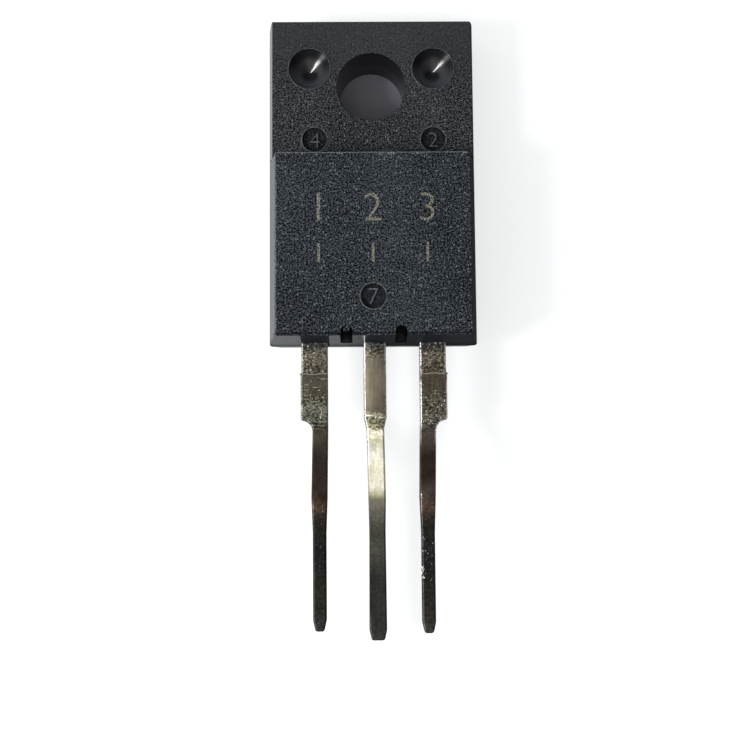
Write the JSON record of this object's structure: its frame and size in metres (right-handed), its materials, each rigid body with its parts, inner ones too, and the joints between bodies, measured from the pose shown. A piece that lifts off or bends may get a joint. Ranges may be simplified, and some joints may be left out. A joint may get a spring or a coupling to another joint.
{
  "type": "power transistor",
  "caption": "Fully moulded power transistor with a screw hole in its tab and formed leads in two rows.",
  "frame": {"origin": "centre of the screw hole on the flat back face", "axes": "+X across the leads, +Y up the tab away from the leads, +Z out of the marked front face; the part lies on its back at Z = 0"},
  "size_m": [0.01, 0.0301, 0.0048],
  "materials": {
    "epoxy": "matte",
    "lead_plating": "dull tin plate",
    "header_copper": "plated copper",
    "silicon": "polished",
    "solder": "satin",
    "bond_aluminium": "satin"
  },
  "bodies": {
    "root": {"molded_body": "epoxy", "collector_header": "header_copper", "base_lead": "lead_plating", "emitter_lead": "lead_plating", "transistor_die": "silicon", "die_attach_solder": "solder", "base_bond_wire": "bond_aluminium", "emitter_bond_wire_a": "bond_aluminium", "emitter_bond_wire_b": "bond_aluminium"}
  },
  "joints": []
}
